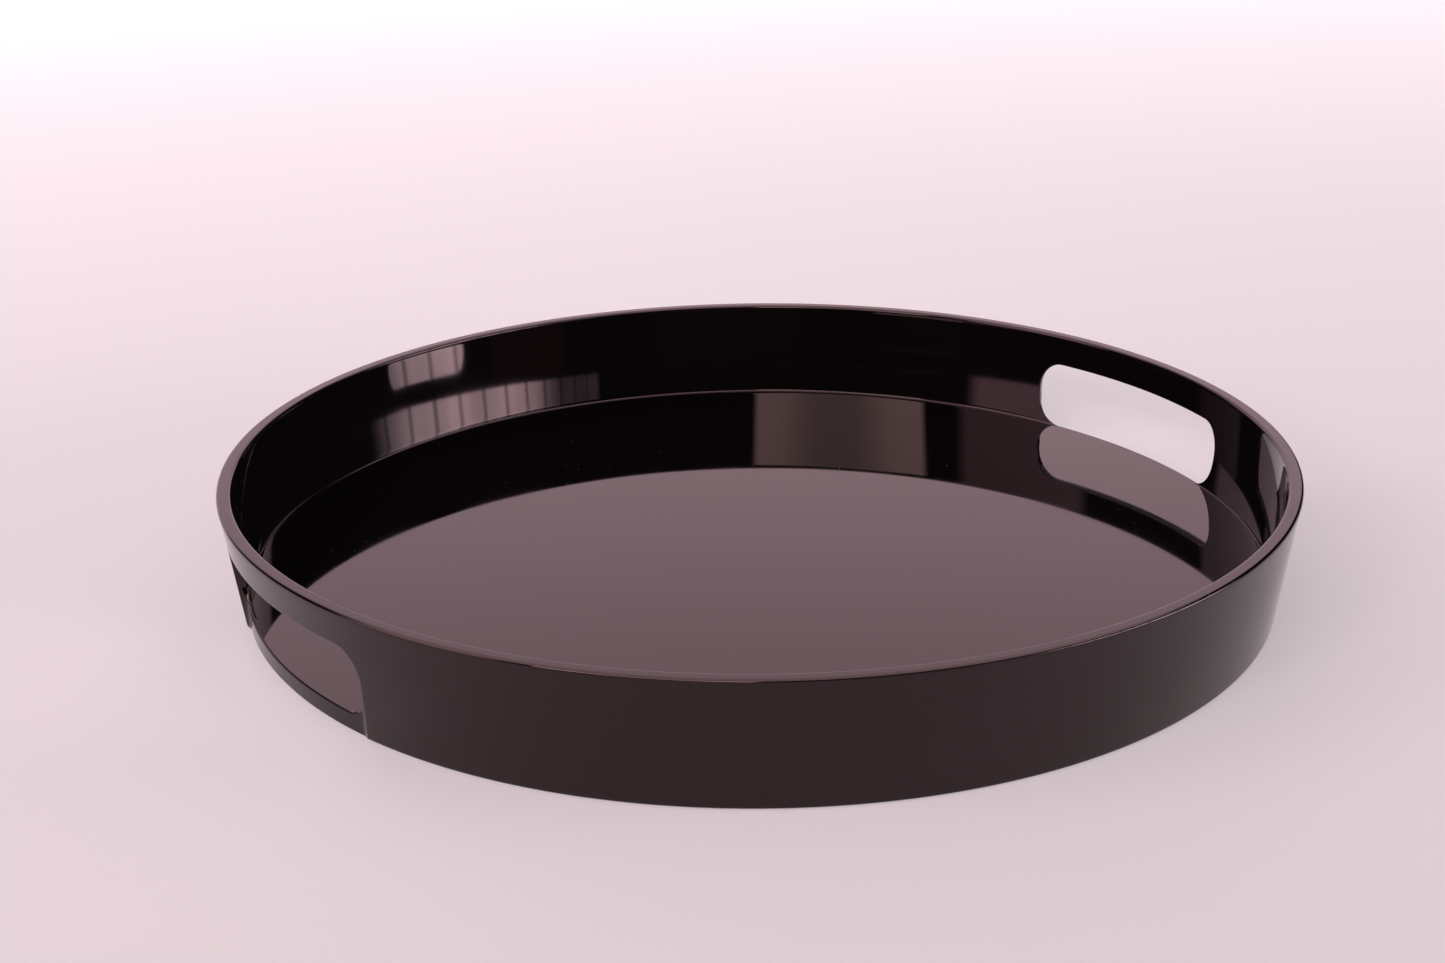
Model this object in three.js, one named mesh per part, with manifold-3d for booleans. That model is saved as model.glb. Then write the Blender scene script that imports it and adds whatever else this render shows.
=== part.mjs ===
// Round serving tray: a one-piece moulded shell with a flared wall, a flat serving floor and two
// hand slots facing each other, standing on four non-slip pads in the hollow under its floor.
// Millimetres, +Z up. The origin is on the tray's axis, at the surface that the pads rest on,
// and the hand slots lie on the X axis.

import * as THREE from "three";
import { mergeVertices } from "three/addons/utils/BufferGeometryUtils.js";
import Module from "manifold-3d";

// Driving dimensions of the shell. Heights are above the underside of its foot ring.
const RIM_DIAMETER = 380;
const SHELL_HEIGHT = 44;
const RIM_THICKNESS = 4.9;
const OUTER_DRAFT = THREE.MathUtils.degToRad(8);
const INNER_DRAFT = THREE.MathUtils.degToRad(5);
const FLOOR_LEVEL = 5.9;
const FLOOR_THICKNESS = 4;
const CREASE_RADIUS = 0.8;
const RIM_OUTER_ROUNDING = 0.9;
const RIM_INNER_ROUNDING = 1.1;
const BASE_ROUNDING = 1;
const FOOT_RING_INNER_RADIUS = 175;
const FOOT_RING_FILLET = 1;

// Hand slots: each goes through the wall from the floor up to the grip bar under the rim.
const SLOT_HALF_LENGTH = 51;
const SLOT_TOP = 32;
const SLOT_CORNER_RADIUS = 12;
const SLOT_FLOOR_STEP = 0.1;
const SLOT_START = 170;
const SLOT_DEPTH = 26;
const SLOT_FLARE = 0.72;
const SLOT_FLARE_ORIGIN = 175.75;

// Relief under each slot: an upright recess in the outer wall that runs out through the base.
const RELIEF_FACE_RADIUS = 182.7;
const RELIEF_CORNER_RADIUS = 6;
const RELIEF_CORNER_OFFSET = 48.2;
const RELIEF_TOP = 19;
const RELIEF_OUTER_REACH = 196;

// Non-slip pads, glued under the floor with a thin film, standing just proud of the foot ring.
const PAD_COUNT = 4;
const PAD_RADIUS = 8;
const PAD_CIRCLE_RADIUS = 160;
const PAD_STANDOUT = 0.3;
const PAD_ROUNDING = 0.6;
const GLUE_FILM = 0.3;

// Fineness of the round surfaces.
const SHELL_SEGMENTS = 144;
const PAD_SEGMENTS = 40;
const ROUNDING_STEPS = 3;
const CREASE_STEPS = 5;
const SLOT_CORNER_STEPS = 8;
const RELIEF_FACE_STEPS = 16;

const wasm = await Module();
wasm.setup();

const rimRadius = RIM_DIAMETER / 2;
const baseRadius = rimRadius - SHELL_HEIGHT * Math.tan(OUTER_DRAFT);

// Points of a round stretch of an outline, from one angle to another about a centre.
function arc(centreR, centreZ, radius, from, to, steps) {
  return Array.from({ length: steps + 1 }, (_, i) => {
    const angle = from + ((to - from) * i) / steps;
    return new THREE.Vector2(
      centreR + radius * Math.cos(angle),
      centreZ + radius * Math.sin(angle),
    );
  });
}

// The radius, at a height, of a drafted wall face that has a known radius at a known height.
function wallRadius(knownRadius, knownHeight, draft, height) {
  return knownRadius + (height - knownHeight) * Math.tan(draft);
}

// The shell's half section, counter-clockwise from the middle of its underside. Each rounding is an
// arc that touches the level line and the drafted wall on either side of it.
function shellOutline() {
  const half = Math.PI / 2;
  const underside = FLOOR_LEVEL - FLOOR_THICKNESS;

  const ringFillet = arc(
    FOOT_RING_INNER_RADIUS - FOOT_RING_FILLET,
    underside - FOOT_RING_FILLET,
    FOOT_RING_FILLET,
    half,
    0,
    ROUNDING_STEPS,
  );

  const baseZ = BASE_ROUNDING;
  const baseR =
    wallRadius(baseRadius, 0, OUTER_DRAFT, baseZ) - BASE_ROUNDING / Math.cos(OUTER_DRAFT);
  const base = arc(baseR, baseZ, BASE_ROUNDING, -half, -OUTER_DRAFT, ROUNDING_STEPS);

  const outerZ = SHELL_HEIGHT - RIM_OUTER_ROUNDING;
  const outerR = rimRadius - RIM_OUTER_ROUNDING;
  const rimOuter = [
    ...arc(outerR, outerZ, RIM_OUTER_ROUNDING, -OUTER_DRAFT, 0, 1),
    ...arc(outerR, outerZ, RIM_OUTER_ROUNDING, 0, half, ROUNDING_STEPS).slice(1),
  ];

  const rimInnerRadius = rimRadius - RIM_THICKNESS;
  const innerZ = SHELL_HEIGHT - RIM_INNER_ROUNDING;
  const innerR =
    wallRadius(rimInnerRadius, SHELL_HEIGHT, INNER_DRAFT, innerZ) +
    RIM_INNER_ROUNDING / Math.cos(INNER_DRAFT);
  const rimInner = arc(
    innerR,
    innerZ,
    RIM_INNER_ROUNDING,
    half,
    Math.PI - INNER_DRAFT,
    ROUNDING_STEPS,
  );

  const creaseZ = FLOOR_LEVEL + CREASE_RADIUS;
  const creaseR =
    wallRadius(rimInnerRadius, SHELL_HEIGHT, INNER_DRAFT, creaseZ) -
    CREASE_RADIUS / Math.cos(INNER_DRAFT);
  const crease = arc(creaseR, creaseZ, CREASE_RADIUS, -INNER_DRAFT, -half, CREASE_STEPS);

  return [
    new THREE.Vector2(0, underside),
    ...ringFillet,
    new THREE.Vector2(FOOT_RING_INNER_RADIUS, 0),
    ...base,
    ...rimOuter,
    ...rimInner,
    ...crease,
    new THREE.Vector2(0, FLOOR_LEVEL),
  ];
}

// A closed geometry as a manifold-3d solid.
function solidFrom(geometry) {
  const bare = geometry.index ? geometry.toNonIndexed() : geometry.clone();
  bare.deleteAttribute("normal");
  bare.deleteAttribute("uv");
  const merged = mergeVertices(bare, 1e-4);
  return new wasm.Manifold(
    new wasm.Mesh({
      numProp: 3,
      vertProperties: new Float32Array(merged.attributes.position.array),
      triVerts: new Uint32Array(merged.index.array),
    }),
  );
}

function geometryFrom(solid) {
  const mesh = solid.getMesh();
  const geometry = new THREE.BufferGeometry();
  geometry.setAttribute("position", new THREE.BufferAttribute(mesh.vertProperties, 3));
  geometry.setIndex(new THREE.BufferAttribute(mesh.triVerts, 1));
  geometry.computeVertexNormals();
  return geometry;
}

// A revolved solid about the Z axis, from a half section of (radius, height) points.
function revolve(outline, segments) {
  const geometry = new THREE.LatheGeometry(outline, segments);
  geometry.rotateX(Math.PI / 2);
  return geometry;
}

// The slot's cutter: a rounded rectangle pushed outwards along +X, its ends flaring as it goes.
// It stops just short of the floor's surface.
function slotCutter() {
  const bottom = FLOOR_LEVEL + SLOT_FLOOR_STEP;
  const side = SLOT_HALF_LENGTH - SLOT_CORNER_RADIUS;
  const low = bottom + SLOT_CORNER_RADIUS;
  const high = SLOT_TOP - SLOT_CORNER_RADIUS;
  const quarter = Math.PI / 2;
  const corner = (y, z, start) =>
    arc(y, z, SLOT_CORNER_RADIUS, start, start + quarter, SLOT_CORNER_STEPS);
  const outline = new THREE.Shape([
    ...corner(side, high, 0),
    ...corner(-side, high, quarter),
    ...corner(-side, low, 2 * quarter),
    ...corner(side, low, 3 * quarter),
  ]);
  const geometry = new THREE.ExtrudeGeometry(outline, { depth: SLOT_DEPTH, bevelEnabled: false });
  const alongX = new THREE.Matrix4().makeBasis(
    new THREE.Vector3(0, 1, 0),
    new THREE.Vector3(0, 0, 1),
    new THREE.Vector3(1, 0, 0),
  );
  geometry.applyMatrix4(alongX);
  geometry.translate(SLOT_START, 0, 0);
  const position = geometry.attributes.position;
  for (let i = 0; i < position.count; i += 1) {
    const flare = SLOT_FLARE * (position.getX(i) - SLOT_FLARE_ORIGIN);
    position.setY(i, position.getY(i) + Math.sign(position.getY(i)) * flare);
  }
  return solidFrom(geometry);
}

// The relief's cutter: an upright prism. Its inner face is round about the tray's axis, and a
// rounding at each end turns it outwards.
function reliefCutter() {
  const centreDistance = RELIEF_FACE_RADIUS + RELIEF_CORNER_RADIUS;
  const centreX = Math.sqrt(centreDistance ** 2 - RELIEF_CORNER_OFFSET ** 2);
  const end = RELIEF_CORNER_OFFSET + RELIEF_CORNER_RADIUS;
  const faceAngle = Math.atan2(RELIEF_CORNER_OFFSET, centreX);
  const face = arc(0, 0, RELIEF_FACE_RADIUS, faceAngle, -faceAngle, RELIEF_FACE_STEPS);
  const upperCorner = arc(
    centreX,
    RELIEF_CORNER_OFFSET,
    RELIEF_CORNER_RADIUS,
    Math.PI / 2,
    Math.PI + faceAngle,
    SLOT_CORNER_STEPS,
  );
  const lowerCorner = arc(
    centreX,
    -RELIEF_CORNER_OFFSET,
    RELIEF_CORNER_RADIUS,
    Math.PI - faceAngle,
    (Math.PI * 3) / 2,
    SLOT_CORNER_STEPS,
  );
  const plan = new THREE.Shape([
    new THREE.Vector2(RELIEF_OUTER_REACH, end),
    ...upperCorner,
    ...face.slice(1, -1),
    ...lowerCorner,
    new THREE.Vector2(RELIEF_OUTER_REACH, -end),
  ]);
  const below = 1;
  const depth = RELIEF_TOP + below;
  const geometry = new THREE.ExtrudeGeometry(plan, { depth, bevelEnabled: false });
  geometry.translate(0, 0, -below);
  return solidFrom(geometry);
}

function makeShell() {
  const cutter = slotCutter().add(reliefCutter());
  const opposite = cutter.rotate([0, 0, 180]);
  const body = solidFrom(revolve(shellOutline(), SHELL_SEGMENTS));
  const shell = body.subtract(cutter).subtract(opposite);
  const material = new THREE.MeshStandardMaterial({
    color: 0x0a0909,
    roughness: 0.06,
    metalness: 0,
  });
  const mesh = new THREE.Mesh(geometryFrom(shell), material);
  mesh.name = "tray_shell";
  mesh.position.z = PAD_STANDOUT;
  return mesh;
}

function makePad(index) {
  const top = PAD_STANDOUT + FLOOR_LEVEL - FLOOR_THICKNESS - GLUE_FILM;
  const outline = [
    new THREE.Vector2(0, 0),
    ...arc(
      PAD_RADIUS - PAD_ROUNDING,
      PAD_ROUNDING,
      PAD_ROUNDING,
      -Math.PI / 2,
      0,
      ROUNDING_STEPS,
    ),
    new THREE.Vector2(PAD_RADIUS, top),
    new THREE.Vector2(0, top),
  ];
  const material = new THREE.MeshStandardMaterial({
    color: 0x191919,
    roughness: 0.85,
    metalness: 0,
  });
  const mesh = new THREE.Mesh(revolve(outline, PAD_SEGMENTS), material);
  const angle = ((index + 0.5) * 2 * Math.PI) / PAD_COUNT;
  mesh.name = `non_slip_pad_${index + 1}`;
  mesh.position.set(PAD_CIRCLE_RADIUS * Math.cos(angle), PAD_CIRCLE_RADIUS * Math.sin(angle), 0);
  return mesh;
}

const tray = new THREE.Group();
tray.add(makeShell());
for (let i = 0; i < PAD_COUNT; i += 1) {
  tray.add(makePad(i));
}

export default tray;
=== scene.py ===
import math

import bmesh
import bpy
import numpy as np
from mathutils import Matrix, Vector


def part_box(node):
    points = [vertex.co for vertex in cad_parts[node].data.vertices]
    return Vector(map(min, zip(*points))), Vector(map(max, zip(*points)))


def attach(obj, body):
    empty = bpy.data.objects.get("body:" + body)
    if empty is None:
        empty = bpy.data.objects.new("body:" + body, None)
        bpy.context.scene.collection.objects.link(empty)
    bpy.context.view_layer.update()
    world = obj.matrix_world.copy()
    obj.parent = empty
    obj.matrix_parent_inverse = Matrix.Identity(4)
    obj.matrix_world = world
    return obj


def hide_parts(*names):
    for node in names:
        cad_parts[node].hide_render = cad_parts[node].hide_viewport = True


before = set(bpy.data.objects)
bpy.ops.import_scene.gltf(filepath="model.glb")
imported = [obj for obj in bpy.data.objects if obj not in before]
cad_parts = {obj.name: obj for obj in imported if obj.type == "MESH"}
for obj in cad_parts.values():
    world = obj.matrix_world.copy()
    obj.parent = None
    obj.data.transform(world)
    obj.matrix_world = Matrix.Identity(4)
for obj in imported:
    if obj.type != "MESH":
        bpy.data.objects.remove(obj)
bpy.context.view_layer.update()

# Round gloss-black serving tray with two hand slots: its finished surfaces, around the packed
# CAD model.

MM = 0.001

# ---------------------------------------------------------------------------------------------
# Driving dimensions, in millimetres. Heights are above the underside of the foot ring.
# ---------------------------------------------------------------------------------------------

SHELL_LOW, SHELL_HIGH = (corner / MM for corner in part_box("tray_shell"))
RIM_RADIUS = SHELL_HIGH.x
SHELL_HEIGHT = SHELL_HIGH.z - SHELL_LOW.z
SHELL_LIFT = SHELL_LOW.z
RIM_THICKNESS = 4.9
OUTER_DRAFT = math.radians(8)
INNER_DRAFT = math.radians(5)
FLOOR_LEVEL = 5.9
UNDERSIDE_LEVEL = 1.9
CREASE_RADIUS = 0.8
RIM_OUTER_ROUNDING = 0.9
RIM_INNER_ROUNDING = 1.1
BASE_ROUNDING = 1.0
FOOT_RING_INNER_RADIUS = 175.0
FOOT_RING_FILLET = 1.0

SLOT_HALF_LENGTH = 51.0
SLOT_TOP = 32.0
SLOT_CORNER_RADIUS = 12.0
SLOT_FLARE = 0.72
SLOT_FLARE_ORIGIN = 175.75
RELIEF_FACE_RADIUS = 182.7
RELIEF_CORNER_RADIUS = 6.0
RELIEF_CORNER_OFFSET = 48.2

EDGE_ROUNDING = 0.5
LIP_ROUNDING = 1.1
SLOT_INNER_ROUNDING = 0.4

# The patch of the shell around each slot that is meshed as rings around the hole.
PATCH_ANGLE = math.radians(21)
PATCH_TOP = 36.0
PATCH_RING_RADIUS = 178.0
PATCH_FLOOR_RADIUS = 172.0

FOOT_EDGE_ROUNDING = 0.3
FLAT_RADII = (150, 120, 90, 60, 30, 8, 0)

HALF_PI = math.pi / 2


# ---------------------------------------------------------------------------------------------
# Outlines
# ---------------------------------------------------------------------------------------------

def arc(centre_r, centre_z, radius, start, end, steps):
    """Points of a round stretch of an outline, both ends included."""
    angles = np.linspace(start, end, steps + 1)
    return np.stack([centre_r + radius * np.cos(angles), centre_z + radius * np.sin(angles)], 1)


def line(start, end, steps):
    return np.linspace(start, end, steps + 1)


def chain(*pieces):
    """One outline from stretches that meet end to end."""
    return np.concatenate([pieces[0], *[piece[1:] for piece in pieces[1:]]])


def outer_radius(z):
    return RIM_RADIUS - (SHELL_HEIGHT - z) * math.tan(OUTER_DRAFT)


def inner_radius(z):
    return RIM_RADIUS - RIM_THICKNESS - (SHELL_HEIGHT - z) * math.tan(INNER_DRAFT)


# Centres of the roundings, each touching a level line and a drafted wall.
BASE_CENTRE = (outer_radius(BASE_ROUNDING) - BASE_ROUNDING / math.cos(OUTER_DRAFT), BASE_ROUNDING)
RIM_OUTER_Z = SHELL_HEIGHT - RIM_OUTER_ROUNDING
RIM_OUTER_CENTRE = (RIM_RADIUS - RIM_OUTER_ROUNDING, RIM_OUTER_Z)
RIM_INNER_Z = SHELL_HEIGHT - RIM_INNER_ROUNDING
RIM_INNER_CENTRE = (inner_radius(RIM_INNER_Z) + RIM_INNER_ROUNDING / math.cos(INNER_DRAFT), RIM_INNER_Z)
CREASE_Z = FLOOR_LEVEL + CREASE_RADIUS
CREASE_CENTRE = (inner_radius(CREASE_Z) - CREASE_RADIUS / math.cos(INNER_DRAFT), CREASE_Z)

WALL_STEPS = 24
ROUND_STEPS = 8
FLAT_STEPS = 4
SIDE_STEPS = WALL_STEPS + ROUND_STEPS + FLAT_STEPS


def outer_side():
    """The outer wall from the patch's top down, round the base and in along the foot ring."""
    base = arc(*BASE_CENTRE, BASE_ROUNDING, -OUTER_DRAFT, -HALF_PI, ROUND_STEPS)
    wall = line((outer_radius(PATCH_TOP), PATCH_TOP), base[0], WALL_STEPS)
    ring = line(base[-1], (PATCH_RING_RADIUS, 0), FLAT_STEPS)
    return chain(wall, base, ring)


def inner_side():
    """The inner wall from the patch's top down, round the crease and in along the floor."""
    crease = arc(*CREASE_CENTRE, CREASE_RADIUS, -INNER_DRAFT, -HALF_PI, ROUND_STEPS)
    wall = line((inner_radius(PATCH_TOP), PATCH_TOP), crease[0], WALL_STEPS)
    floor = line(crease[-1], (PATCH_FLOOR_RADIUS, FLOOR_LEVEL), FLAT_STEPS)
    return chain(wall, crease, floor)


def rim_outline():
    """From the patch's top on the outer wall, over the rim, to its top on the inner wall."""
    outer = arc(*RIM_OUTER_CENTRE, RIM_OUTER_ROUNDING, -OUTER_DRAFT, HALF_PI, 9)
    inner = arc(*RIM_INNER_CENTRE, RIM_INNER_ROUNDING, HALF_PI, math.pi - INNER_DRAFT, 7)
    return chain(
        line((outer_radius(PATCH_TOP), PATCH_TOP), outer[0], 6),
        outer,
        line(outer[-1], inner[0], 5),
        inner,
        line(inner[-1], (inner_radius(PATCH_TOP), PATCH_TOP), 6),
    )


def floor_outline():
    return np.array([(r, FLOOR_LEVEL) for r in (PATCH_FLOOR_RADIUS, *FLAT_RADII)], float)


def underside_outline():
    """From the patch's edge on the foot ring, up the ring's inner side and fillet, to the middle."""
    fillet_r = FOOT_RING_INNER_RADIUS - FOOT_RING_FILLET
    fillet_z = UNDERSIDE_LEVEL - FOOT_RING_FILLET
    fillet = arc(fillet_r, fillet_z, FOOT_RING_FILLET, 0, HALF_PI, 5)
    corner = FOOT_EDGE_ROUNDING
    edge = arc(FOOT_RING_INNER_RADIUS + corner, corner, corner, -HALF_PI, -math.pi, 3)
    return chain(
        line((PATCH_RING_RADIUS, 0), edge[0], 2),
        edge,
        line(edge[-1], fillet[0], 1),
        fillet,
        np.array([fillet[-1], *[(r, UNDERSIDE_LEVEL) for r in FLAT_RADII]], float),
    )


# ---------------------------------------------------------------------------------------------
# The rings around a slot. Only the half with y above 0 is worked out.
# ---------------------------------------------------------------------------------------------

ACROSS_STEPS = 40
UPPER_CORNER_STEPS = 9
STRAIGHT_STEPS = 2
LOWER_CORNER_STEPS = WALL_STEPS - UPPER_CORNER_STEPS - STRAIGHT_STEPS
SHEET_STEPS = 12
BEND_STEPS = 5
RELIEF_STEPS = 8
SLOT_STEPS = 6

# The relief fades in over this much of the slot's lower corner.
RELIEF_FADE_TURN = math.radians(30)
LEAST_LIP_SHARE = 0.3
LONGEST_BEND_SHARE = 0.42
SHEET_EASE = 1.6


class Sheet:
    """A surface of revolution met by the slot: points of its outline by the length along it."""

    def __init__(self, outline):
        self.outline = outline
        steps = np.linalg.norm(np.diff(outline, axis=0), axis=1)
        self.lengths = np.concatenate([[0], np.cumsum(steps)])

    def profile(self, along):
        return (
            np.interp(along, self.lengths, self.outline[:, 0]),
            np.interp(along, self.lengths, self.outline[:, 1]),
        )

    def point(self, angle, along):
        r, z = self.profile(along)
        return np.array([r * math.cos(angle), r * math.sin(angle), z])

    def along_at(self, index):
        return self.lengths[index]

    def along_wall(self, z):
        """The length along the straight wall at a height."""
        top, foot = self.outline[0][1], self.outline[WALL_STEPS][1]
        return self.lengths[WALL_STEPS] * (top - z) / (top - foot)


OUTER = Sheet(outer_side())
INNER = Sheet(inner_side())

RELIEF_CENTRE_X = math.sqrt((RELIEF_FACE_RADIUS + RELIEF_CORNER_RADIUS) ** 2 - RELIEF_CORNER_OFFSET ** 2)
RELIEF_FACE_ANGLE = math.atan2(RELIEF_CORNER_OFFSET, RELIEF_CENTRE_X)
RELIEF_FACE_LENGTH = RELIEF_FACE_RADIUS * RELIEF_FACE_ANGLE


def relief_plan(along):
    """(x, y) on the relief's plan outline, by the length along it from the middle of its face."""
    if along <= RELIEF_FACE_LENGTH:
        angle = along / RELIEF_FACE_RADIUS
        return RELIEF_FACE_RADIUS * math.cos(angle), RELIEF_FACE_RADIUS * math.sin(angle)
    turn = math.pi + RELIEF_FACE_ANGLE - (along - RELIEF_FACE_LENGTH) / RELIEF_CORNER_RADIUS
    return (
        RELIEF_CENTRE_X + RELIEF_CORNER_RADIUS * math.cos(turn),
        RELIEF_CORNER_OFFSET + RELIEF_CORNER_RADIUS * math.sin(turn),
    )


def bisect(test, low, high):
    """Where test turns from negative to positive between low and high."""
    for _ in range(50):
        middle = (low + high) / 2
        if test(middle) < 0:
            low = middle
        else:
            high = middle
    return (low + high) / 2


RELIEF_MOUTH = RELIEF_FACE_LENGTH + RELIEF_CORNER_RADIUS * (HALF_PI + RELIEF_FACE_ANGLE)


def relief_at_radius(radius):
    """The length along the relief's plan where it reaches a distance from the tray's axis."""
    return bisect(lambda q: math.hypot(*relief_plan(q)) - radius, RELIEF_FACE_LENGTH, RELIEF_MOUTH)


def slot_spread(y):
    """How much of the flare a line of the slot's surface takes: none in the middle, all at the ends."""
    return min(1.0, y / (SLOT_HALF_LENGTH - SLOT_CORNER_RADIUS))


def slot_line(y, z, x):
    """A point on the line of the slot's surface that passes height z at y, at a distance x."""
    return np.array([x, y + SLOT_FLARE * slot_spread(y) * (x - SLOT_FLARE_ORIGIN), z])


def slot_line_at_radius(y, z, radius):
    flare = SLOT_FLARE * slot_spread(y)
    y0 = y - flare * SLOT_FLARE_ORIGIN
    a, b, c = 1 + flare ** 2, flare * y0, y0 ** 2 - radius ** 2
    return slot_line(y, z, (-b + math.sqrt(b * b - a * c)) / a)


def slot_line_at_relief(y, z):
    """Where that line leaves through the relief's face."""
    def beyond(q):
        x, plan_y = relief_plan(q)
        return plan_y - slot_line(y, z, x)[1]
    turn = HALF_PI + RELIEF_FACE_ANGLE - math.atan(SLOT_FLARE)
    widest = RELIEF_FACE_LENGTH + RELIEF_CORNER_RADIUS * turn
    return bisect(beyond, 0, widest)


def smooth(x):
    x = min(1.0, max(0.0, x))
    return x * x * (3 - 2 * x)


def angle_of(point):
    return math.atan2(point[1], point[0])


class Station:
    """One line of the mesh from the patch's outer edge, through the slot, to its inner edge."""

    def __init__(self, edge_angle, outer_edge, inner_edge):
        self.edge_angle = edge_angle
        self.outer_edge = outer_edge
        self.inner_edge = inner_edge


def stations():
    """Every station from the middle of the slot's top, round its end, to the middle of its bottom."""
    side = SLOT_HALF_LENGTH - SLOT_CORNER_RADIUS
    high = SLOT_TOP - SLOT_CORNER_RADIUS
    low = FLOOR_LEVEL + SLOT_CORNER_RADIUS
    found = []

    def through_wall(y, z, edge_angle, outer_edge, inner_edge):
        s = Station(edge_angle, outer_edge, inner_edge)
        s.outer = slot_line_at_radius(y, z, outer_radius(z))
        s.inner = slot_line_at_radius(y, z, inner_radius(z))
        s.outer_place = (angle_of(s.outer), OUTER.along_wall(z))
        s.inner_place = (angle_of(s.inner), INNER.along_wall(z))
        s.lip = (s.outer + s.inner) / 2
        s.relief = None
        s.share = 0.0
        found.append(s)

    # Along the top and round the first half of the upper corner.
    half_corner = SLOT_CORNER_RADIUS * math.pi / 4
    top_length = side + half_corner
    for i in range(ACROSS_STEPS + 1):
        along = top_length * i / ACROSS_STEPS
        edge_angle = PATCH_ANGLE * i / ACROSS_STEPS
        if along <= side:
            y, z = along, SLOT_TOP
        else:
            turn = (along - side) / SLOT_CORNER_RADIUS
            y, z = side + SLOT_CORNER_RADIUS * math.sin(turn), high + SLOT_CORNER_RADIUS * math.cos(turn)
        through_wall(y, z, edge_angle, 0.0, 0.0)

    def side_edges(step):
        return PATCH_ANGLE, OUTER.along_at(step), INNER.along_at(step)

    # Round the rest of the upper corner and down the straight end.
    for i in range(1, UPPER_CORNER_STEPS + 1):
        turn = math.pi / 4 * (1 + i / UPPER_CORNER_STEPS)
        y, z = side + SLOT_CORNER_RADIUS * math.sin(turn), high + SLOT_CORNER_RADIUS * math.cos(turn)
        through_wall(y, z, *side_edges(i))
    for i in range(1, STRAIGHT_STEPS + 1):
        z = high + (low - high) * i / STRAIGHT_STEPS
        through_wall(SLOT_HALF_LENGTH, z, *side_edges(UPPER_CORNER_STEPS + i))

    # Round the lower corner, where the relief opens between the slot and the outer wall.
    crease_turn = math.asin((low - INNER.outline[WALL_STEPS][1]) / SLOT_CORNER_RADIUS)

    def through_relief(turn, outer_q, outer_place, inner_place_at, edges, y=None):
        s = Station(*edges)
        if y is None:
            y = side + SLOT_CORNER_RADIUS * math.cos(turn)
        z = low - SLOT_CORNER_RADIUS * math.sin(turn)
        s.outer_place = outer_place
        s.outer = OUTER.point(*outer_place)
        r, _ = INNER.profile(inner_place_at)
        s.inner = slot_line_at_radius(y, z, float(r))
        s.inner_place = (angle_of(s.inner), inner_place_at)
        q = slot_line_at_relief(y, z)
        true_lip = np.array([*relief_plan(q), z])
        s.share = smooth(turn / RELIEF_FADE_TURN)
        s.relief = (outer_q, q, true_lip)
        s.lip = (1 - s.share) * (s.outer + s.inner) / 2 + s.share * true_lip
        found.append(s)

    for i in range(1, LOWER_CORNER_STEPS + 1):
        share = i / LOWER_CORNER_STEPS
        turn = crease_turn * share
        z = low - SLOT_CORNER_RADIUS * math.sin(turn)
        outer_z = low + (OUTER.outline[WALL_STEPS][1] - low) * share
        outer_q = relief_at_radius(outer_radius(outer_z))
        place = (math.atan2(*relief_plan(outer_q)[::-1]), OUTER.along_wall(outer_z))
        edges = side_edges(UPPER_CORNER_STEPS + STRAIGHT_STEPS + i)
        through_relief(turn, outer_q, place, INNER.along_wall(z), edges)

    # Round the base on the outside and the crease on the inside.
    for i in range(1, ROUND_STEPS + 1):
        step = WALL_STEPS + i
        outer_q = relief_at_radius(OUTER.outline[step][0])
        place = (math.atan2(*relief_plan(outer_q)[::-1]), OUTER.along_at(step))
        sine = (low - INNER.outline[step][1]) / SLOT_CORNER_RADIUS
        turn = math.asin(min(1.0, sine))
        through_relief(turn, outer_q, place, INNER.along_at(step), side_edges(step))

    # Along the bottom, in the plane of the foot ring on the outside and of the floor on the inside.
    start_q = relief_at_radius(OUTER.outline[WALL_STEPS + ROUND_STEPS][0])
    crease_along = INNER.along_at(WALL_STEPS + ROUND_STEPS)
    ring_along = OUTER.along_at(SIDE_STEPS)
    floor_along = INNER.along_at(SIDE_STEPS)
    count = FLAT_STEPS + ACROSS_STEPS
    for i in range(1, count + 1):
        share = i / count
        if i <= FLAT_STEPS:
            edges = side_edges(WALL_STEPS + ROUND_STEPS + i)
        else:
            edges = (PATCH_ANGLE * (count - i) / ACROSS_STEPS, ring_along, floor_along)
        outer_q = start_q * (1 - share)
        plan = relief_plan(outer_q)
        along = ring_along - (math.hypot(*plan) - PATCH_RING_RADIUS)
        place = (math.atan2(plan[1], plan[0]), along)
        through_relief(HALF_PI, outer_q, place, crease_along, edges, y=side * (1 - share))
    return found


def spaced(steps, ease):
    """Shares from 0 to 1 whose steps get finer towards 1."""
    return 1 - (1 - np.linspace(0, 1, steps + 1)) ** ease


class Leg:
    """A stretch of a station as a function of a share from 0 to 1, with its length."""

    def __init__(self, at):
        self.at = at
        points = np.array([at(t) for t in np.linspace(0, 1, 9)])
        self.length = float(np.linalg.norm(np.diff(points, axis=0), axis=1).sum())


def sheet_leg(sheet, start, end):
    (a0, l0), (a1, l1) = start, end
    return Leg(lambda t: sheet.point(a0 + (a1 - a0) * t, l0 + (l1 - l0) * t))


def relief_leg(s):
    def at(t):
        straight = s.outer + (s.lip - s.outer) * t
        if not s.relief:
            return straight
        q0, q1, true_lip = s.relief
        on_face = np.array([*relief_plan(q0 + (q1 - q0) * t), s.outer[2] + (true_lip[2] - s.outer[2]) * t])
        return straight + s.share * (on_face - (s.outer + (true_lip - s.outer) * t))
    return Leg(at)


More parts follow.
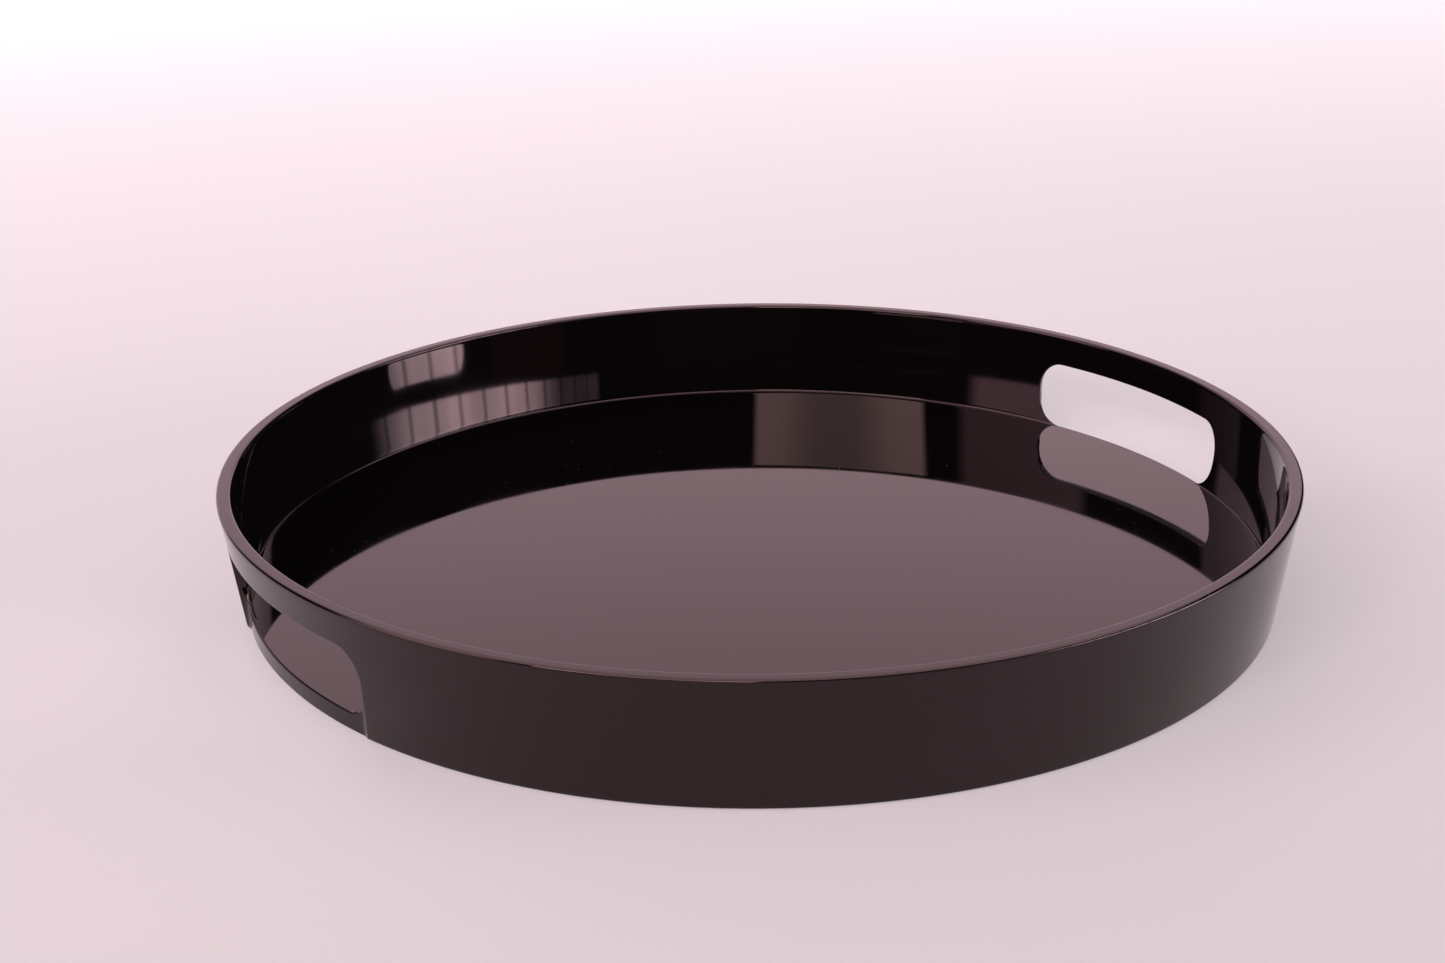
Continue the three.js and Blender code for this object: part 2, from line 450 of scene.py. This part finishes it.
def bend(first, second, rounding):
    """A rounding between two legs that meet: how much of each it takes, and its points."""
    cut = min(rounding, LONGEST_BEND_SHARE * first.length, LONGEST_BEND_SHARE * second.length)
    before, after = 1 - cut / first.length, cut / second.length
    start, corner, end = first.at(before), first.at(1), second.at(after)
    t = np.linspace(0, 1, BEND_STEPS + 1)[:, None]
    curve = (1 - t) ** 2 * start + 2 * t * (1 - t) * corner + t * t * end
    return before, after, curve


def station_points(s):
    legs = [
        sheet_leg(OUTER, (s.edge_angle, s.outer_edge), s.outer_place),
        relief_leg(s),
        Leg(lambda t: s.lip + (s.inner - s.lip) * t),
        sheet_leg(INNER, s.inner_place, (s.edge_angle, s.inner_edge)),
    ]
    lip_rounding = LIP_ROUNDING * max(s.share, LEAST_LIP_SHARE)
    bends = [
        bend(legs[0], legs[1], EDGE_ROUNDING),
        bend(legs[1], legs[2], lip_rounding),
        bend(legs[2], legs[3], SLOT_INNER_ROUNDING),
    ]
    starts = [0.0, *[after for _, after, _ in bends]]
    ends = [*[before for before, _, _ in bends], 1.0]
    shares = [
        spaced(SHEET_STEPS, SHEET_EASE),
        np.linspace(0, 1, RELIEF_STEPS + 1),
        np.linspace(0, 1, SLOT_STEPS + 1),
        1 - spaced(SHEET_STEPS, SHEET_EASE)[::-1],
    ]
    stretches = []
    for k, leg in enumerate(legs):
        ts = starts[k] + (ends[k] - starts[k]) * shares[k]
        stretches.append(np.array([leg.at(t) for t in ts]))
        if k < len(bends):
            stretches.append(bends[k][2])
    return chain(*stretches)


# ---------------------------------------------------------------------------------------------
# The shell's mesh
# ---------------------------------------------------------------------------------------------

PLAIN_STEPS = 230
WELD = 0.004


class Grids:
    """Vertices and faces of several grids, kept together until their edges are welded."""

    def __init__(self):
        self.points = []
        self.faces = []
        self.count = 0

    def add(self, grid):
        rows, columns = grid.shape[:2]
        index = self.count + np.arange(rows * columns).reshape(rows, columns)
        quads = np.stack([index[:-1, :-1], index[:-1, 1:], index[1:, 1:], index[1:, :-1]], -1)
        self.points.append(grid.reshape(-1, 3))
        self.faces.extend(quads.reshape(-1, 4).tolist())
        self.count += rows * columns


def revolved(outline, angles):
    r, z = outline[None, :, 0], outline[None, :, 1]
    cos, sin = np.cos(angles)[:, None], np.sin(angles)[:, None]
    return np.stack([r * cos, r * sin, np.broadcast_to(z, (len(angles), outline.shape[0]))], -1)


def shell_grids():
    grids = Grids()
    plain = np.linspace(PATCH_ANGLE, math.pi - PATCH_ANGLE, PLAIN_STEPS + 1)
    half = PATCH_ANGLE * np.arange(ACROSS_STEPS + 1) / ACROSS_STEPS
    handle = np.concatenate([-half[:0:-1], half])
    patch = np.array([station_points(s) for s in stations()])
    mirrored = patch * [1, -1, 1]
    for side in (0, math.pi):
        turn = np.array([math.cos(side), math.cos(side), 1])
        grids.add(patch * turn)
        grids.add(mirrored * turn)
        for outline in (rim_outline(), floor_outline(), underside_outline()):
            grids.add(revolved(outline, handle) * turn)
            grids.add(revolved(outline, plain) * turn)
        for outline in (outer_side(), inner_side()):
            grids.add(revolved(outline, plain) * turn)
    return grids


def mesh_object(name, points, faces, material):
    """A smooth-shaded mesh object from points in millimetres, welded where its grids meet."""
    mesh = bpy.data.meshes.new(name)
    mesh.from_pydata((points * MM).tolist(), [], faces)
    bm = bmesh.new()
    bm.from_mesh(mesh)
    bmesh.ops.remove_doubles(bm, verts=bm.verts, dist=WELD * MM)
    bmesh.ops.dissolve_degenerate(bm, edges=bm.edges, dist=WELD * MM * 0.1)
    bmesh.ops.recalc_face_normals(bm, faces=bm.faces)
    for face in bm.faces:
        face.smooth = True
    bm.to_mesh(mesh)
    bm.free()
    mesh.materials.append(material)
    obj = bpy.data.objects.new(name, mesh)
    bpy.context.scene.collection.objects.link(obj)
    return obj


def make_shell(material):
    grids = shell_grids()
    points = np.concatenate(grids.points) + [0, 0, SHELL_LIFT]
    shell = mesh_object("gloss_shell", points, grids.faces, material)
    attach(shell, "root")
    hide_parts("tray_shell")


# ---------------------------------------------------------------------------------------------
# Node helpers
# ---------------------------------------------------------------------------------------------

class Shading:
    """A material's or world's node tree, with short ways to make and join its nodes."""

    def __init__(self, tree):
        self.tree = tree

    def node(self, kind, inputs=None, **settings):
        node = self.tree.nodes.new(kind)
        for name, value in settings.items():
            setattr(node, name, value)
        for name, value in (inputs or {}).items():
            self.feed(node.inputs[name], value)
        return node

    def feed(self, socket, value):
        """Sets an input to a value, or joins an output to it."""
        if isinstance(value, bpy.types.NodeSocket):
            self.tree.links.new(value, socket)
        else:
            socket.default_value = value

    def math(self, operation, *values):
        node = self.node("ShaderNodeMath", operation=operation)
        for socket, value in zip(node.inputs, values):
            self.feed(socket, value)
        return node.outputs[0]

    def product(self, first, *others):
        """All the values multiplied together."""
        total = first
        for value in others:
            total = self.math("MULTIPLY", total, value)
        return total

    def vector(self, operation, *values, out="Vector"):
        node = self.node("ShaderNodeVectorMath", operation=operation)
        for socket, value in zip(node.inputs, values):
            self.feed(socket, value)
        return node.outputs[out]

    def spread(self, value, low, high, to_low=0.0, to_high=1.0, kind="SMOOTHSTEP"):
        """Carries a value from one range to another, held at both ends."""
        node = self.node("ShaderNodeMapRange", interpolation_type=kind)
        for socket, given in zip(node.inputs, (value, low, high, to_low, to_high)):
            self.feed(socket, given)
        return node.outputs[0]

    def noise(self, place, scale, detail=2.0, roughness=0.5):
        inputs = {"Vector": place, "Scale": scale, "Detail": detail, "Roughness": roughness}
        return self.node("ShaderNodeTexNoise", inputs).outputs["Fac"]

    def mix(self, share, first, second):
        node = self.node("ShaderNodeMix", data_type="RGBA")
        self.feed(node.inputs["Factor"], share)
        colours = [socket for socket in node.inputs if socket.type == "RGBA"]
        self.feed(colours[0], first)
        self.feed(colours[1], second)
        return [socket for socket in node.outputs if socket.type == "RGBA"][0]

    def bump(self, height, distance, normal=None, strength=1.0):
        node = self.node("ShaderNodeBump", {"Height": height, "Distance": distance, "Strength": strength})
        if normal is not None:
            self.feed(node.inputs["Normal"], normal)
        return node.outputs["Normal"]


def new_material(name):
    material = bpy.data.materials.new(name)
    material.use_nodes = True
    shading = Shading(material.node_tree)
    return material, shading, material.node_tree.nodes["Principled BSDF"]


# ---------------------------------------------------------------------------------------------
# Materials
# ---------------------------------------------------------------------------------------------

# Lengths here are in metres, and texture scales are per metre.
GLOSS_IOR = 1.46
GLOSS_TINT = (1.0, 0.72, 0.75, 1)
GLOSS_ROUGHNESS = (0.022, 0.055)
SATIN_ROUGHNESS = 0.32
DUST_CELLS = 420.0
DUST_RADIUS = 0.085
DUST_RARITY = 0.93
HAIRLINE_STRETCH = (9.0, 1100.0, 1.0)
HAIRLINE_TURNS = (0.5, 2.2)
WAVE_HEIGHT = 0.00003
MARK_HEIGHT = 0.00004


def dust_specks(s, place, up):
    """Sparse specks a fraction of a millimetre across that lie on what faces up."""
    cells = s.node("ShaderNodeTexVoronoi", {"Vector": place, "Scale": DUST_CELLS, "Randomness": 1.0})
    chosen = s.node("ShaderNodeSeparateColor", {"Color": cells.outputs["Color"]}).outputs[0]
    near = s.math("LESS_THAN", cells.outputs["Distance"], DUST_RADIUS)
    speck = s.math("MULTIPLY", near, s.math("GREATER_THAN", chosen, DUST_RARITY))
    return s.math("MULTIPLY", speck, s.spread(up, 0.5, 0.95))


def hairlines(s, place, up, height):
    """Short fine scratches on the serving floor, in two directions."""
    on_floor = s.math("MULTIPLY", s.spread(up, 0.97, 0.999), s.spread(height, 0.012, 0.008))
    lines = []
    for angle in HAIRLINE_TURNS:
        turned = s.node(
            "ShaderNodeVectorRotate", {"Vector": place, "Angle": angle}, rotation_type="Z_AXIS")
        stretched = s.vector("MULTIPLY", turned.outputs[0], HAIRLINE_STRETCH)
        lines.append(s.spread(s.noise(stretched, 1.0, 2.0, 0.6), 0.735, 0.76))
    return s.math("MULTIPLY", s.math("MAXIMUM", *lines), on_floor)


def gloss_material():
    """Moulded gloss plastic: nearly black, faintly wavy, with fine hairlines and a little dust."""
    material, s, shader = new_material("gloss_black")
    place = s.node("ShaderNodeTexCoord").outputs["Object"]
    normal = s.node("ShaderNodeNewGeometry").outputs["Normal"]
    up = s.node("ShaderNodeSeparateXYZ", {"Vector": normal}).outputs["Z"]
    height = s.node("ShaderNodeSeparateXYZ", {"Vector": place}).outputs["Z"]

    # The hollow under the floor is satin, straight from the mould.
    under = s.math("MULTIPLY", s.spread(up, -0.3, -0.9), s.spread(height, 0.0032, 0.0026))
    dust = dust_specks(s, place, up)
    scratch = hairlines(s, place, up, height)

    # The polish is a little less sharp in patches.
    patches = s.noise(place, 22.0, 3.0, 0.6)
    rough = s.spread(patches, 0.35, 0.75, *GLOSS_ROUGHNESS, "LINEAR")
    rough = s.math("ADD", rough, s.math("MULTIPLY", scratch, 0.10))
    rough = s.math("ADD", rough, s.math("MULTIPLY", dust, 0.6))
    rough = s.math("MAXIMUM", rough, s.math("MULTIPLY", under, SATIN_ROUGHNESS))
    s.feed(shader.inputs["Roughness"], rough)
    shader.inputs["IOR"].default_value = GLOSS_IOR
    shader.inputs["Specular Tint"].default_value = GLOSS_TINT

    body = s.mix(patches, (0.0030, 0.0022, 0.0024, 1), (0.0050, 0.0037, 0.0040, 1))
    dusty = s.mix(s.math("MULTIPLY", dust, 0.35), body, (0.30, 0.27, 0.27, 1))
    s.feed(shader.inputs["Base Color"], dusty)

    # Slow waves and a faint ripple left by the mould, then grain underneath and the dust's relief.
    ripple = s.math("MULTIPLY", s.noise(place, 90.0, 2.0), 0.05)
    smooth_skin = s.bump(s.math("ADD", s.noise(place, 16.0, 1.0), ripple), WAVE_HEIGHT)
    grain = s.math("MULTIPLY", s.noise(place, 2600.0, 2.0), under)
    marks = s.math("ADD", grain, s.math("MULTIPLY", dust, 0.6))
    s.feed(shader.inputs["Normal"], s.bump(marks, MARK_HEIGHT, smooth_skin, 0.6))
    return material


def rubber_material():
    """Matt black rubber, finely pebbled, greyed a little by dust."""
    material, s, shader = new_material("pad_rubber")
    place = s.node("ShaderNodeTexCoord").outputs["Object"]
    pebble = s.node("ShaderNodeTexVoronoi", {"Vector": place, "Scale": 1900.0}).outputs["Distance"]
    cloud = s.noise(place, 260.0, 4.0, 0.65)
    s.feed(shader.inputs["Base Color"], s.mix(cloud, (0.012, 0.012, 0.013, 1), (0.055, 0.052, 0.051, 1)))
    s.feed(shader.inputs["Roughness"], s.spread(cloud, 0.3, 0.7, 0.62, 0.85, "LINEAR"))
    shader.inputs["IOR"].default_value = 1.5
    s.feed(shader.inputs["Normal"], s.bump(s.math("ADD", pebble, cloud), 0.00006, None, 0.7))
    return material


# ---------------------------------------------------------------------------------------------
# Non-slip pads
# ---------------------------------------------------------------------------------------------

PAD_ROUNDING = 0.6
PAD_GROOVES = 3
PAD_GROOVE_WIDTH = 0.7
PAD_GROOVE_DEPTH = 0.45
PAD_GROOVE_ROUNDING = 0.12
PAD_GROOVE_FOOT = 0.06
PAD_SHOULDER = 0.3
PAD_STEPS = 72


def pad_outline(radius, height):
    """From the middle of the gripping face, over its ring grooves, round the edge and back on top."""
    points = [(0.0, 0.0)]
    pitch = (radius - PAD_ROUNDING) / (PAD_GROOVES + 1)
    for ring in range(1, PAD_GROOVES + 1):
        middle, half = pitch * ring + pitch / 4, PAD_GROOVE_WIDTH / 2
        points += [
            (middle - half - PAD_GROOVE_ROUNDING, 0.0),
            (middle - half, PAD_GROOVE_ROUNDING),
            (middle - half * 0.6, PAD_GROOVE_DEPTH - PAD_GROOVE_FOOT),
            (middle - half * 0.3, PAD_GROOVE_DEPTH),
            (middle + half * 0.3, PAD_GROOVE_DEPTH),
            (middle + half * 0.6, PAD_GROOVE_DEPTH - PAD_GROOVE_FOOT),
            (middle + half, PAD_GROOVE_ROUNDING),
            (middle + half + PAD_GROOVE_ROUNDING, 0.0),
        ]
    edge = arc(radius - PAD_ROUNDING, PAD_ROUNDING, PAD_ROUNDING, -HALF_PI, 0, 6)
    shoulder = arc(radius - PAD_SHOULDER, height - PAD_SHOULDER, PAD_SHOULDER, 0, HALF_PI, 4)
    return chain(np.array([*points, edge[0]], float), edge, np.array([edge[-1], shoulder[0]]), shoulder,
                 np.array([shoulder[-1], (radius / 2, height), (0.0, height)]))


def make_pads(material):
    names = sorted(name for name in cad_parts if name.startswith("non_slip_pad"))
    for name in names:
        low, high = (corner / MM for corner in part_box(name))
        radius, height = (high.x - low.x) / 2, high.z - low.z
        grids = Grids()
        grids.add(revolved(pad_outline(radius, height), np.linspace(0, 2 * math.pi, PAD_STEPS + 1)))
        centre = [(low.x + high.x) / 2, (low.y + high.y) / 2, low.z]
        points = np.concatenate(grids.points) + centre
        pad = mesh_object(name.replace("non_slip_pad", "grip_pad"), points, grids.faces, material)
        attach(pad, "root")
        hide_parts(name)


# ---------------------------------------------------------------------------------------------
# Camera
# ---------------------------------------------------------------------------------------------

VIEW_TURN = math.radians(-33.2)
CAMERA_DISTANCE = 4.1935 * RIM_RADIUS * MM
CAMERA_ELEVATION = math.radians(22.725)
CAMERA_LENS = 54.254
CAMERA_YAW = math.radians(-0.927)
CAMERA_PITCH = math.radians(2.12)
CAMERA_ROLL = math.radians(-0.797)


def make_camera():
    """The camera of the main view: it looks almost at the tray's middle, from CAMERA_DISTANCE."""
    data = bpy.data.cameras.new("camera")
    data.lens = CAMERA_LENS
    data.sensor_width = 36
    camera = bpy.data.objects.new("camera", data)
    back = Vector((0, -math.cos(CAMERA_ELEVATION), math.sin(CAMERA_ELEVATION)))
    look = -back
    right = look.cross(Vector((0, 0, 1))).normalized()
    up = right.cross(look)
    aim = (look * math.cos(CAMERA_YAW) + right * math.sin(CAMERA_YAW)) * math.cos(CAMERA_PITCH)
    aim += up * math.sin(CAMERA_PITCH)
    right = aim.cross(Vector((0, 0, 1))).normalized()
    up = right.cross(aim)
    right, up = (
        right * math.cos(CAMERA_ROLL) + up * math.sin(CAMERA_ROLL),
        up * math.cos(CAMERA_ROLL) - right * math.sin(CAMERA_ROLL),
    )
    facing = Matrix((right, up, -aim)).transposed().to_4x4()
    place = Matrix.Translation(back * CAMERA_DISTANCE)
    lift = Matrix.Translation((0, 0, SHELL_LIFT * MM))
    camera.matrix_world = lift @ Matrix.Rotation(VIEW_TURN, 4, "Z") @ place @ facing
    bpy.context.scene.collection.objects.link(camera)
    bpy.context.scene.camera = camera


# ---------------------------------------------------------------------------------------------
# Studio: floor, light panels and world, in metres. Bearings are turned with the main view: 90
# degrees is straight away from the camera, 0 degrees is to its right.
# ---------------------------------------------------------------------------------------------

def bearing_vector(bearing, elevation=0.0):
    a, e = math.radians(bearing) + VIEW_TURN, math.radians(elevation)
    return Vector((math.cos(a) * math.cos(e), math.sin(a) * math.cos(e), math.sin(e)))


FLOOR_REACH = 60.0
FLOOR_GLOW_BEARING = 110
FLOOR_GLOW_REACH = (-0.6, 1.7)
FLOOR_GLOW_NEAR = 0.18
FLOOR_GLOW_FAR = 0.76


def floor_material():
    """A pale matt table top, lit a little from within, more so towards the back of the main view."""
    material, s, shader = new_material("pale_floor")
    place = s.node("ShaderNodeTexCoord").outputs["Object"]
    tone = s.noise(place, 1.4, 3.0, 0.5)
    s.feed(shader.inputs["Base Color"], s.mix(tone, (0.65, 0.60, 0.63, 1), (0.68, 0.63, 0.66, 1)))
    shader.inputs["Roughness"].default_value = 0.9
    shader.inputs["Emission Color"].default_value = (1.0, 0.90, 0.94, 1)
    depth = s.vector("DOT_PRODUCT", place, tuple(bearing_vector(FLOOR_GLOW_BEARING)), out="Value")
    glow = s.spread(depth, *FLOOR_GLOW_REACH, FLOOR_GLOW_NEAR, FLOOR_GLOW_FAR, "LINEAR")
    s.feed(shader.inputs["Emission Strength"], glow)
    fibre = s.noise(place, 900.0, 2.0)
    s.feed(shader.inputs["Normal"], s.bump(fibre, 0.00002, None, 0.3))
    return material


def stage_quad(name, corners, material):
    mesh = bpy.data.meshes.new(name)
    mesh.from_pydata(corners, [], [(0, 1, 2, 3)])
    mesh.materials.append(material)
    piece = bpy.data.objects.new(name, mesh)
    bpy.context.scene.collection.objects.link(piece)
    return piece


def make_floor():
    r = FLOOR_REACH
    stage_quad("studio_floor", [(-r, -r, 0), (r, -r, 0), (r, r, 0), (-r, r, 0)], floor_material())


def light_panel(name, centre, across, rise, colour, strength_of):
    """A glowing panel, hidden from the camera. strength_of gives its strength from the place on it.

    across and rise run from its middle to the middle of its right and top edges.
    """
    material = bpy.data.materials.new(name)
    material.use_nodes = True
    s = Shading(material.node_tree)
    material.node_tree.nodes.remove(material.node_tree.nodes["Principled BSDF"])
    place = s.node("ShaderNodeTexCoord").outputs["Object"]
    from_centre = s.vector("SUBTRACT", place, tuple(centre))
    along = s.vector("DOT_PRODUCT", from_centre, tuple(across.normalized()), out="Value")
    up = s.vector("DOT_PRODUCT", from_centre, tuple(rise.normalized()), out="Value")
    glow = s.node("ShaderNodeEmission", {"Color": (*colour, 1), "Strength": strength_of(s, along, up)})
    s.feed(material.node_tree.nodes["Material Output"].inputs["Surface"], glow.outputs[0])
    low, high = centre - rise, centre + rise
    panel = stage_quad(name, [low - across, low + across, high + across, high - across], material)
    panel.visible_camera = False
    return panel


WINDOW_BEARING = 5
WINDOW_DISTANCE = 3.0
WINDOW_SHIFT = 1.8
WINDOW_HALF_WIDTH = 2.5
WINDOW_SILL = 0.26
WINDOW_HEAD = 0.86
WINDOW_PITCH = 0.42
WINDOW_FIRST_UPRIGHT = 0.05
WINDOW_UPRIGHT = 0.05
WINDOW_NEAR_FADE = (-0.7, 0.45)
WINDOW_FAR_FADE = (3.1, 1.7)
WINDOW_COLOUR = (1.0, 0.88, 0.94)
WINDOW_STRENGTH = 16.0


def make_window():
    """A long low window with uprights, on the right of the main view."""
    across = bearing_vector(WINDOW_BEARING - 90)
    middle = (WINDOW_SILL + WINDOW_HEAD) / 2
    half_height = (WINDOW_HEAD - WINDOW_SILL) / 2
    centre = bearing_vector(WINDOW_BEARING) * WINDOW_DISTANCE + across * WINDOW_SHIFT
    centre += Vector((0, 0, middle))

    def strength(s, along, up):
        from_normal = s.math("ADD", along, WINDOW_SHIFT)
        turns = s.math("DIVIDE", s.math("SUBTRACT", from_normal, WINDOW_FIRST_UPRIGHT), WINDOW_PITCH)
        # The phase is one half at the middle of each upright.
        phase = s.math("FRACT", s.math("ADD", turns, 0.5))
        from_upright = s.math("ABSOLUTE", s.math("SUBTRACT", phase, 0.5))
        half = WINDOW_UPRIGHT / WINDOW_PITCH / 2
        pane = s.spread(from_upright, half * 0.4, half * 2.2, 0.48, 1.0)
        near_end = s.spread(from_normal, *WINDOW_NEAR_FADE)
        far_end = s.spread(from_normal, *WINDOW_FAR_FADE, 0.08, 1.0)
        rim = s.spread(s.math("ABSOLUTE", up), half_height, half_height * 0.85)
        place = s.node("ShaderNodeTexCoord").outputs["Object"]
        veil = s.spread(s.noise(place, 2.2, 2.0), 0.3, 0.7, 0.8, 1.15)
        return s.product(pane, near_end, far_end, rim, veil, WINDOW_STRENGTH)

    light_panel("window_wall", centre, across * WINDOW_HALF_WIDTH, Vector((0, 0, half_height)),
                WINDOW_COLOUR, strength)


SOFTBOX_BEARING = 247.5
SOFTBOX_ELEVATION = 29
SOFTBOX_DISTANCE = 2.6
SOFTBOX_HALF_WIDTH = 0.97
SOFTBOX_HALF_HEIGHT = 0.34
SOFTBOX_COLOUR = (1.0, 0.86, 0.80)
SOFTBOX_STRENGTH = 7.0


def make_softbox():
    """A warm softbox behind the main view, a little to its left."""
    out = bearing_vector(SOFTBOX_BEARING, SOFTBOX_ELEVATION)
    across = bearing_vector(SOFTBOX_BEARING - 90)
    rise = out.cross(across).normalized()

    def strength(s, along, up):
        sides = s.spread(s.math("ABSOLUTE", along), SOFTBOX_HALF_WIDTH, SOFTBOX_HALF_WIDTH * 0.9)
        rim = s.spread(s.math("ABSOLUTE", up), SOFTBOX_HALF_HEIGHT, SOFTBOX_HALF_HEIGHT * 0.8)
        far_out = s.math("ABSOLUTE", s.math("ADD", along, 0.05))
        middle = s.spread(far_out, 0.1, 0.75, 0.80, 1.55)
        return s.product(sides, rim, middle, SOFTBOX_STRENGTH)

    light_panel("front_softbox", out * SOFTBOX_DISTANCE, across * SOFTBOX_HALF_WIDTH,
                rise * SOFTBOX_HALF_HEIGHT, SOFTBOX_COLOUR, strength)


OVERHEAD_HEIGHT = 2.0
OVERHEAD_HALF = 2.4
OVERHEAD_COLOUR = (1.0, 0.96, 0.975)
OVERHEAD_STRENGTH = 0.28


def make_overhead():
    """A broad soft light straight above, which the gloss doesn't mirror."""
    panel = light_panel(
        "overhead_softbox", Vector((0, 0, OVERHEAD_HEIGHT)), bearing_vector(0) * OVERHEAD_HALF,
        bearing_vector(90) * OVERHEAD_HALF, OVERHEAD_COLOUR, lambda s, along, up: OVERHEAD_STRENGTH)
    panel.visible_glossy = False


def sector(s, towards, level, bearing, half_width, feather):
    """1 for directions within half_width degrees of a bearing, fading out over feather degrees."""
    facing = s.vector("DOT_PRODUCT", towards, tuple(bearing_vector(bearing)), out="Value")
    outer = math.cos(math.radians(half_width + feather))
    inner = math.cos(math.radians(half_width))
    return s.spread(s.math("DIVIDE", facing, level), outer, inner)


BACKDROP_SECTOR = (104, 30, 4)
LEFT_WALL_SECTOR = (198, 15, 5)
ROOM_COLOUR = (0.020, 0.013, 0.016, 1)
CEILING_COLOUR = (2.6, 2.1, 2.25, 1)
LEFT_WALL_COLOUR = (3.0, 2.2, 2.45, 1)
BACKDROP_COLOUR = (1.27, 0.91, 1.01, 1)


def make_world():
    """A dim room with a bright ceiling, a pale backdrop ahead and a pale wall on the left."""
    world = bpy.data.worlds.new("studio")
    world.use_nodes = True
    s = Shading(world.node_tree)
    towards = s.node("ShaderNodeTexCoord").outputs["Generated"]
    rise = s.node("ShaderNodeSeparateXYZ", {"Vector": towards}).outputs["Z"]
    level_squared = s.math("SUBTRACT", 1.0, s.math("MULTIPLY", rise, rise))
    level = s.math("SQRT", s.math("MAXIMUM", level_squared, 0.0001))
    backdrop = s.product(sector(s, towards, level, *BACKDROP_SECTOR), s.spread(rise, 1.0, 0.45))
    left_wall = s.product(
        sector(s, towards, level, *LEFT_WALL_SECTOR),
        s.spread(rise, 0.02, 0.16), s.spread(rise, 0.74, 0.60),
    )
    colour = s.mix(s.spread(rise, 0.60, 0.74), ROOM_COLOUR, CEILING_COLOUR)
    colour = s.mix(left_wall, colour, LEFT_WALL_COLOUR)
    colour = s.mix(backdrop, colour, BACKDROP_COLOUR)
    s.feed(world.node_tree.nodes["Background"].inputs["Color"], colour)
    bpy.context.scene.world = world


bpy.context.scene.view_settings.view_transform = "Standard"
make_shell(gloss_material())
make_pads(rubber_material())
make_floor()
make_camera()
make_window()
make_softbox()
make_overhead()
make_world()
